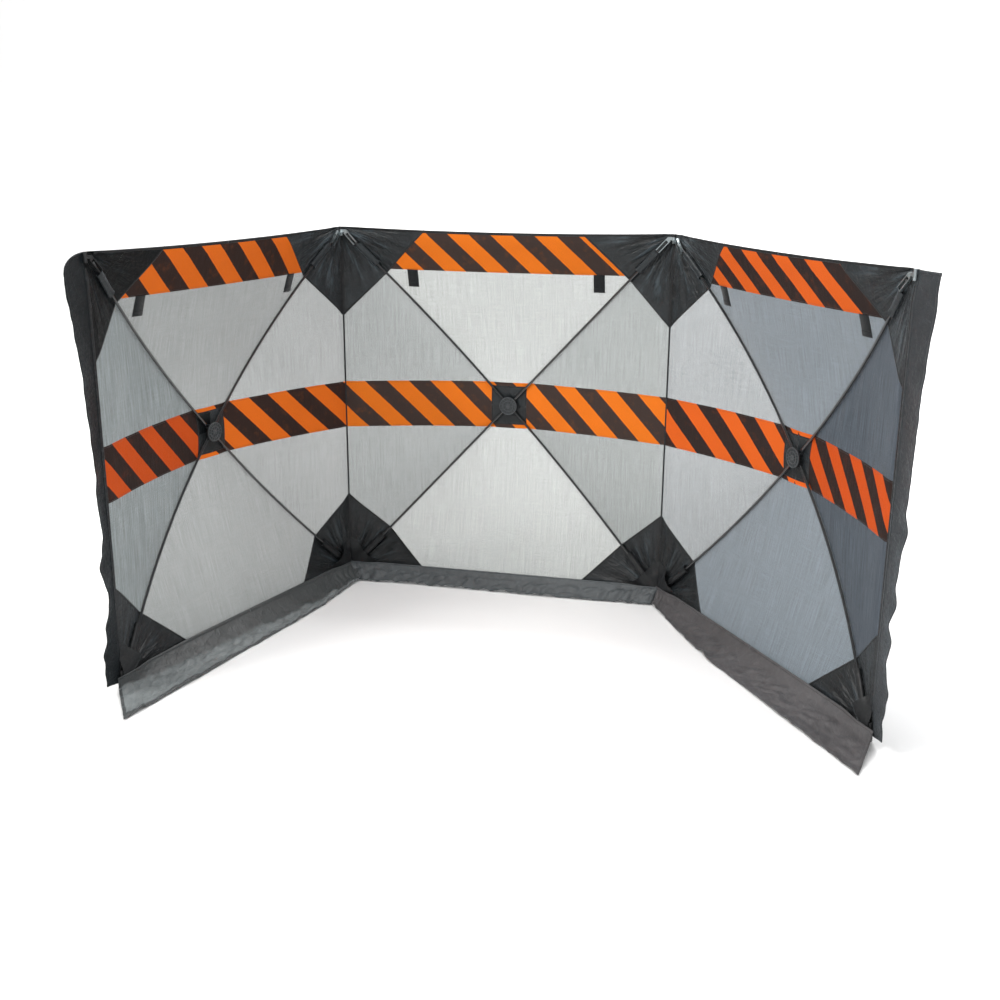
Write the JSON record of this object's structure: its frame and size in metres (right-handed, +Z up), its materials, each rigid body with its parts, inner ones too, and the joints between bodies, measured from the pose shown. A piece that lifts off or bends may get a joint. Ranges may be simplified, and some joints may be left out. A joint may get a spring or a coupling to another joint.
{
  "type": "pop up ground blind",
  "caption": "Three-walled pop-up mesh screen in a U, spread by bowed poles from a hub in each wall; the poles fold like an umbrella and the side walls swing at the seams.",
  "frame": {"origin": "on the ground under the left seam, whose vertical hinge axis is the Z axis", "axes": "+X along the foot of the centre wall from the left seam to the right seam, +Y out of the sheltered side, +Z up"},
  "size_m": [2.5662, 1.6797, 1.5002],
  "materials": {
    "pole": "satin",
    "hub": "satin",
    "bracket": "satin",
    "seam_pin": "satin",
    "mesh": "matte",
    "skirt": "matte",
    "webbing": "matte"
  },
  "bodies": {
    "base": {"bracket_centre_bottom_left": "bracket", "skirt_centre_left": "skirt"},
    "pole_centre_bottom_left": {"pole_centre_bottom_left": "pole", "mesh_centre_bottom_left": "mesh"},
    "hub_centre": {"hub_centre": "hub", "hub_cap_centre": "hub", "pull_strap_centre": "webbing"},
    "pole_centre_top_left": {"pole_centre_top_left": "pole", "mesh_centre_top_left": "mesh"},
    "bracket_centre_top_left": {"bracket_centre_top_left": "bracket", "seam_pin_left_top": "seam_pin"},
    "pole_centre_top_right": {"pole_centre_top_right": "pole", "mesh_centre_top_right": "mesh"},
    "bracket_centre_top_right": {"bracket_centre_top_right": "bracket", "seam_pin_right_top": "seam_pin"},
    "pole_centre_bottom_right": {"pole_centre_bottom_right": "pole", "mesh_centre_bottom_right": "mesh"},
    "bracket_centre_bottom_right": {"bracket_centre_bottom_right": "bracket", "skirt_centre_right": "skirt"},
    "seam_pin_left": {"seam_pin_left_bottom": "seam_pin"},
    "bracket_left_bottom_right": {"bracket_left_bottom_right": "bracket", "skirt_left_right": "skirt"},
    "pole_left_bottom_right": {"pole_left_bottom_right": "pole", "mesh_left_bottom_right": "mesh"},
    "hub_left": {"hub_left": "hub", "hub_cap_left": "hub", "pull_strap_left": "webbing"},
    "pole_left_top_left": {"pole_left_top_left": "pole", "mesh_left_top_left": "mesh"},
    "bracket_left_top_left": {"bracket_left_top_left": "bracket", "flap_left_top": "skirt"},
    "pole_left_top_right": {"pole_left_top_right": "pole", "mesh_left_top_right": "mesh"},
    "bracket_left_top_right": {"bracket_left_top_right": "bracket"},
    "pole_left_bottom_left": {"pole_left_bottom_left": "pole", "mesh_left_bottom_left": "mesh"},
    "bracket_left_bottom_left": {"bracket_left_bottom_left": "bracket", "skirt_left_left": "skirt", "flap_left_bottom": "skirt"},
    "seam_pin_right": {"seam_pin_right_bottom": "seam_pin"},
    "bracket_right_bottom_left": {"bracket_right_bottom_left": "bracket", "skirt_right_left": "skirt"},
    "pole_right_bottom_left": {"pole_right_bottom_left": "pole", "mesh_right_bottom_left": "mesh"},
    "hub_right": {"hub_right": "hub", "hub_cap_right": "hub", "pull_strap_right": "webbing"},
    "pole_right_top_left": {"pole_right_top_left": "pole", "mesh_right_top_left": "mesh"},
    "bracket_right_top_left": {"bracket_right_top_left": "bracket"},
    "pole_right_top_right": {"pole_right_top_right": "pole", "mesh_right_top_right": "mesh"},
    "bracket_right_top_right": {"bracket_right_top_right": "bracket", "flap_right_top": "skirt"},
    "pole_right_bottom_right": {"pole_right_bottom_right": "pole", "mesh_right_bottom_right": "mesh"},
    "bracket_right_bottom_right": {"bracket_right_bottom_right": "bracket", "skirt_right_right": "skirt", "flap_right_bottom": "skirt"}
  },
  "joints": [
    {"name": "collapse", "type": "hinge", "parent": "base", "child": "pole_centre_bottom_left", "pos_m": [0.03382, 0, 0.06683], "axis": [0.7365, 0, -0.6764], "range_deg": [0, 95], "deforming": ["flap_left_bottom", "flap_left_top", "flap_right_bottom", "flap_right_top", "mesh_centre_bottom_left", "mesh_centre_bottom_right", "mesh_centre_top_left", "mesh_centre_top_right", "mesh_left_bottom_left", "mesh_left_bottom_right", "mesh_left_top_left", "mesh_left_top_right", "mesh_right_bottom_left", "mesh_right_bottom_right", "mesh_right_top_left", "mesh_right_top_right", "pull_strap_centre", "pull_strap_left", "pull_strap_right", "skirt_centre_left", "skirt_centre_right", "skirt_left_left", "skirt_left_right", "skirt_right_left", "skirt_right_right"]},
    {"name": "hub_turn_centre", "type": "hinge", "parent": "pole_centre_bottom_left", "child": "hub_centre", "pos_m": [0.65471, 0.14, 0.7429], "axis": [-0.7365, 0, 0.6764], "range_deg": [0, 95]},
    {"name": "pole_fold_centre_top_left", "type": "hinge", "parent": "hub_centre", "child": "pole_centre_top_left", "pos_m": [0.65471, 0.14, 0.7871], "axis": [-0.7365, 0, -0.6764], "range_deg": [0, 95]},
    {"name": "bracket_turn_centre_top_left", "type": "hinge", "parent": "pole_centre_top_left", "child": "bracket_centre_top_left", "pos_m": [0.03382, 0, 1.46317], "axis": [0.7365, 0, 0.6764], "range_deg": [0, 95]},
    {"name": "pole_fold_centre_top_right", "type": "hinge", "parent": "hub_centre", "child": "pole_centre_top_right", "pos_m": [0.69529, 0.14, 0.7871], "axis": [-0.7365, 0, 0.6764], "range_deg": [0, 95]},
    {"name": "bracket_turn_centre_top_right", "type": "hinge", "parent": "pole_centre_top_right", "child": "bracket_centre_top_right", "pos_m": [1.31618, 0, 1.46317], "axis": [0.7365, 0, -0.6764], "range_deg": [0, 95]},
    {"name": "pole_fold_centre_bottom_right", "type": "hinge", "parent": "hub_centre", "child": "pole_centre_bottom_right", "pos_m": [0.69529, 0.14, 0.7429], "axis": [0.7365, 0, 0.6764], "range_deg": [0, 95]},
    {"name": "bracket_turn_centre_bottom_right", "type": "hinge", "parent": "pole_centre_bottom_right", "child": "bracket_centre_bottom_right", "pos_m": [1.31618, 0, 0.06683], "axis": [-0.7365, 0, -0.6764], "range_deg": [0, 95]},
    {"name": "seam_release_left", "type": "hinge", "parent": "base", "child": "seam_pin_left", "pos_m": [0, 0, 0], "axis": [0, 0, -1], "range_deg": [0, 90]},
    {"name": "seam_fold_left", "type": "hinge", "parent": "seam_pin_left", "child": "bracket_left_bottom_right", "pos_m": [0, 0, 0], "axis": [0, 0, 1], "range_deg": [-73.5, 16.5]},
    {"name": "pole_turn_left_bottom_right", "type": "hinge", "parent": "bracket_left_bottom_right", "child": "pole_left_bottom_right", "pos_m": [-0.00961, -0.03243, 0.06683], "axis": [0.2092, 0.7062, 0.6764], "range_deg": [0, 95]},
    {"name": "hub_turn_left", "type": "hinge", "parent": "pole_left_bottom_right", "child": "hub_left", "pos_m": [-0.32018, -0.58798, 0.7429], "axis": [-0.2092, -0.7062, -0.6764], "range_deg": [0, 95]},
    {"name": "pole_fold_left_top_left", "type": "hinge", "parent": "hub_left", "child": "pole_left_top_left", "pos_m": [-0.33171, -0.6269, 0.7871], "axis": [-0.2092, -0.7062, -0.6764], "range_deg": [0, 95]},
    {"name": "bracket_turn_left_top_left", "type": "hinge", "parent": "pole_left_top_left", "child": "bracket_left_top_left", "pos_m": [-0.37382, -1.26198, 1.46317], "axis": [0.2092, 0.7062, 0.6764], "range_deg": [0, 95]},
    {"name": "pole_fold_left_top_right", "type": "hinge", "parent": "hub_left", "child": "pole_left_top_right", "pos_m": [-0.32018, -0.58798, 0.7871], "axis": [-0.2092, -0.7062, 0.6764], "range_deg": [0, 95]},
    {"name": "bracket_turn_left_top_right", "type": "hinge", "parent": "pole_left_top_right", "child": "bracket_left_top_right", "pos_m": [-0.00961, -0.03243, 1.46317], "axis": [0.2092, 0.7062, -0.6764], "range_deg": [0, 95]},
    {"name": "pole_fold_left_bottom_left", "type": "hinge", "parent": "hub_left", "child": "pole_left_bottom_left", "pos_m": [-0.33171, -0.6269, 0.7429], "axis": [0.2092, 0.7062, -0.6764], "range_deg": [0, 95]},
    {"name": "bracket_turn_left_bottom_left", "type": "hinge", "parent": "pole_left_bottom_left", "child": "bracket_left_bottom_left", "pos_m": [-0.37382, -1.26198, 0.06683], "axis": [-0.2092, -0.7062, 0.6764], "range_deg": [0, 95]},
    {"name": "seam_release_right", "type": "hinge", "parent": "bracket_centre_bottom_right", "child": "seam_pin_right", "pos_m": [1.35, 0, 0], "axis": [0, 0, 1], "range_deg": [0, 90]},
    {"name": "seam_fold_right", "type": "hinge", "parent": "seam_pin_right", "child": "bracket_right_bottom_left", "pos_m": [1.35, 0, 0], "axis": [0, 0, -1], "range_deg": [-54, 36]},
    {"name": "pole_turn_right_bottom_left", "type": "hinge", "parent": "bracket_right_bottom_left", "child": "pole_right_bottom_left", "pos_m": [1.36988, -0.02736, 0.06683], "axis": [0.4329, -0.5959, -0.6764], "range_deg": [0, 95]},
    {"name": "hub_turn_right", "type": "hinge", "parent": "pole_right_bottom_left", "child": "hub_right", "pos_m": [1.84809, -0.44738, 0.7429], "axis": [-0.4329, 0.5959, 0.6764], "range_deg": [0, 95]},
    {"name": "pole_fold_right_top_left", "type": "hinge", "parent": "hub_right", "child": "pole_right_top_left", "pos_m": [1.84809, -0.44738, 0.7871], "axis": [-0.4329, 0.5959, -0.6764], "range_deg": [0, 95]},
    {"name": "bracket_turn_right_top_left", "type": "hinge", "parent": "pole_right_top_left", "child": "bracket_right_top_left", "pos_m": [1.36988, -0.02736, 1.46317], "axis": [0.4329, -0.5959, 0.6764], "range_deg": [0, 95]},
    {"name": "pole_fold_right_top_right", "type": "hinge", "parent": "hub_right", "child": "pole_right_top_right", "pos_m": [1.87194, -0.48021, 0.7871], "axis": [-0.4329, 0.5959, 0.6764], "range_deg": [0, 95]},
    {"name": "bracket_turn_right_top_right", "type": "hinge", "parent": "pole_right_top_right", "child": "bracket_right_top_right", "pos_m": [2.12363, -1.06481, 1.46317], "axis": [0.4329, -0.5959, -0.6764], "range_deg": [0, 95]},
    {"name": "pole_fold_right_bottom_right", "type": "hinge", "parent": "hub_right", "child": "pole_right_bottom_right", "pos_m": [1.87194, -0.48021, 0.7429], "axis": [0.4329, -0.5959, 0.6764], "range_deg": [0, 95]},
    {"name": "bracket_turn_right_bottom_right", "type": "hinge", "parent": "pole_right_bottom_right", "child": "bracket_right_bottom_right", "pos_m": [2.12363, -1.06481, 0.06683], "axis": [-0.4329, 0.5959, -0.6764], "range_deg": [0, 95]}
  ],
  "couplings": [
    {"joint": "hub_turn_centre", "follows": "collapse", "ratio": 1},
    {"joint": "pole_fold_centre_top_left", "follows": "collapse", "ratio": 1},
    {"joint": "bracket_turn_centre_top_left", "follows": "collapse", "ratio": 1},
    {"joint": "pole_fold_centre_top_right", "follows": "collapse", "ratio": 1},
    {"joint": "bracket_turn_centre_top_right", "follows": "collapse", "ratio": 1},
    {"joint": "pole_fold_centre_bottom_right", "follows": "collapse", "ratio": 1},
    {"joint": "bracket_turn_centre_bottom_right", "follows": "collapse", "ratio": 1},
    {"joint": "seam_release_left", "follows": "collapse", "ratio": 0.94737},
    {"joint": "pole_turn_left_bottom_right", "follows": "collapse", "ratio": 1},
    {"joint": "hub_turn_left", "follows": "collapse", "ratio": 1},
    {"joint": "pole_fold_left_top_left", "follows": "collapse", "ratio": 1},
    {"joint": "bracket_turn_left_top_left", "follows": "collapse", "ratio": 1},
    {"joint": "pole_fold_left_top_right", "follows": "collapse", "ratio": 1},
    {"joint": "bracket_turn_left_top_right", "follows": "collapse", "ratio": 1},
    {"joint": "pole_fold_left_bottom_left", "follows": "collapse", "ratio": 1},
    {"joint": "bracket_turn_left_bottom_left", "follows": "collapse", "ratio": 1},
    {"joint": "seam_release_right", "follows": "collapse", "ratio": 0.94737},
    {"joint": "pole_turn_right_bottom_left", "follows": "collapse", "ratio": 1},
    {"joint": "hub_turn_right", "follows": "collapse", "ratio": 1},
    {"joint": "pole_fold_right_top_left", "follows": "collapse", "ratio": 1},
    {"joint": "bracket_turn_right_top_left", "follows": "collapse", "ratio": 1},
    {"joint": "pole_fold_right_top_right", "follows": "collapse", "ratio": 1},
    {"joint": "bracket_turn_right_top_right", "follows": "collapse", "ratio": 1},
    {"joint": "pole_fold_right_bottom_right", "follows": "collapse", "ratio": 1},
    {"joint": "bracket_turn_right_bottom_right", "follows": "collapse", "ratio": 1}
  ]
}
